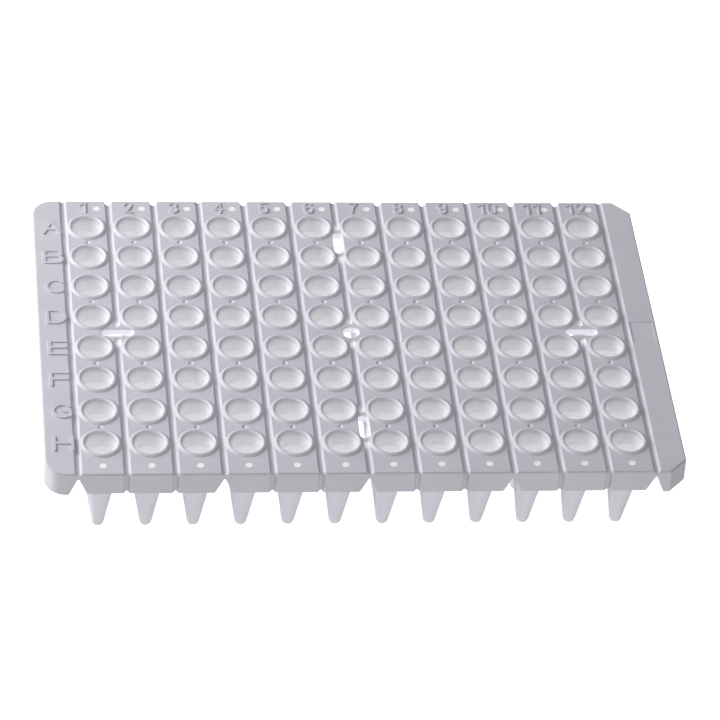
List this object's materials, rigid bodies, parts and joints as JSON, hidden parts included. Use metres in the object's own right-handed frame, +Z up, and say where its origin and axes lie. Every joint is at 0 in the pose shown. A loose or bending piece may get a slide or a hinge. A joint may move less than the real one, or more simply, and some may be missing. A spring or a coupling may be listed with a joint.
{
  "type": "well plate",
  "caption": "Flat white plate with a grid of small tapered tubes hanging from a grooved deck, for heating and cooling many small liquid samples.",
  "frame": {"origin": "middle of the plate in plan, at the height of the tube tips that it stands on", "axes": "+X along the numbered columns from 1 to 12, +Y from row H to row A, +Z up out of the well mouths"},
  "size_m": [0.1204, 0.0802, 0.0207],
  "materials": {
    "polypropylene": "satin white"
  },
  "bodies": {
    "root": {"well_plate": "polypropylene"}
  },
  "joints": []
}
